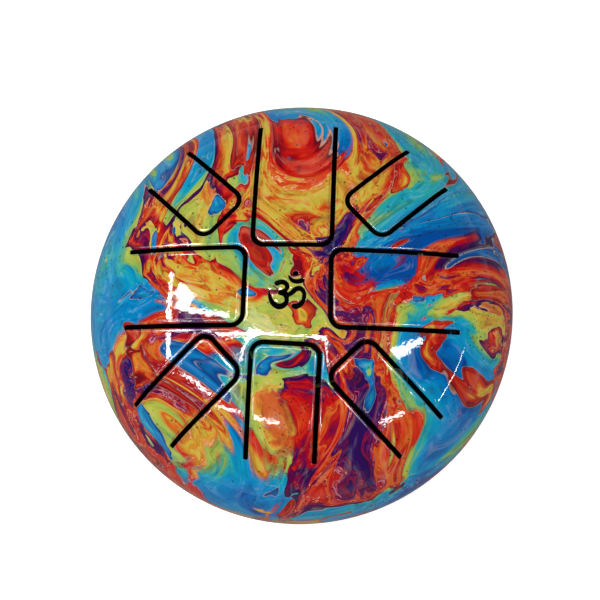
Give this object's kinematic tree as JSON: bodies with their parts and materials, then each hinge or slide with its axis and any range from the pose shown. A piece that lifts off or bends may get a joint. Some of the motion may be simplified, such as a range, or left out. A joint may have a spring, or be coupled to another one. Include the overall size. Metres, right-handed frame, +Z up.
{
  "type": "steel tongue drum",
  "caption": "Round steel tongue drum: dished shells welded rim to rim, sprung tongues cut in the top sheet, a sound port below and rubber feet.",
  "frame": {"origin": "on the axis of the drum, in the plane that the feet's soles stand on", "axes": "+Z up along the drum's axis, +Y towards the longest tongue, on the far side from the player, +X to the player's right"},
  "size_m": [0.1524, 0.1524, 0.078],
  "materials": {
    "shell_paint": "glossy clear lacquer over marbled paint",
    "foot_rubber": "moulded black rubber",
    "zinc_steel": "bright zinc plated"
  },
  "bodies": {
    "drum": {"upper_shell": "shell_paint", "seam_weld": "shell_paint", "lower_shell": "shell_paint", "foot_1": "foot_rubber", "foot_2": "foot_rubber", "foot_3": "foot_rubber", "foot_inserts": "zinc_steel", "foot_screws": "zinc_steel", "foot_washers": "zinc_steel", "foot_nuts": "zinc_steel"},
    "tongue_1": {"tongue_1": "shell_paint"},
    "tongue_2": {"tongue_2": "shell_paint"},
    "tongue_3": {"tongue_3": "shell_paint"},
    "tongue_4": {"tongue_4": "shell_paint"},
    "tongue_5": {"tongue_5": "shell_paint"},
    "tongue_6": {"tongue_6": "shell_paint"},
    "tongue_7": {"tongue_7": "shell_paint"},
    "tongue_8": {"tongue_8": "shell_paint"}
  },
  "joints": [
    {"name": "tongue_1_flex", "type": "hinge", "parent": "drum", "child": "tongue_1", "pos_m": [-0.00053, 0.06045, 0.06528], "axis": [1, 0.0087, 0], "range_deg": [-0.8, 0.8], "stiffness_Nm_per_rad": 141},
    {"name": "tongue_2_flex", "type": "hinge", "parent": "drum", "child": "tongue_2", "pos_m": [0.04492, 0.04566, 0.06301], "axis": [0.6947, -0.7193, 0], "range_deg": [-0.8, 0.8], "stiffness_Nm_per_rad": 156},
    {"name": "tongue_3_flex", "type": "hinge", "parent": "drum", "child": "tongue_3", "pos_m": [0.05557, 0.00071, 0.06748], "axis": [0.0175, -0.9998, 0], "range_deg": [-0.8, 0.8], "stiffness_Nm_per_rad": 147},
    {"name": "tongue_4_flex", "type": "hinge", "parent": "drum", "child": "tongue_4", "pos_m": [0.0438, -0.04702, 0.06282], "axis": [-0.7071, -0.7071, 0], "range_deg": [-0.8, 0.8], "stiffness_Nm_per_rad": 134},
    {"name": "tongue_5_flex", "type": "hinge", "parent": "drum", "child": "tongue_5", "pos_m": [-0.00218, -0.05638, 0.06724], "axis": [-0.9994, 0.0349, 0], "range_deg": [-0.8, 0.8], "stiffness_Nm_per_rad": 141},
    {"name": "tongue_6_flex", "type": "hinge", "parent": "drum", "child": "tongue_6", "pos_m": [-0.04606, -0.04586, 0.06232], "axis": [-0.7009, 0.7133, 0], "range_deg": [-0.8, 0.8], "stiffness_Nm_per_rad": 139},
    {"name": "tongue_7_flex", "type": "hinge", "parent": "drum", "child": "tongue_7", "pos_m": [-0.05707, 0.00026, 0.0669], "axis": [0, 1, 0], "range_deg": [-0.8, 0.8], "stiffness_Nm_per_rad": 153},
    {"name": "tongue_8_flex", "type": "hinge", "parent": "drum", "child": "tongue_8", "pos_m": [-0.04646, 0.04473, 0.06265], "axis": [0.6756, 0.7373, 0], "range_deg": [-0.8, 0.8], "stiffness_Nm_per_rad": 157}
  ]
}
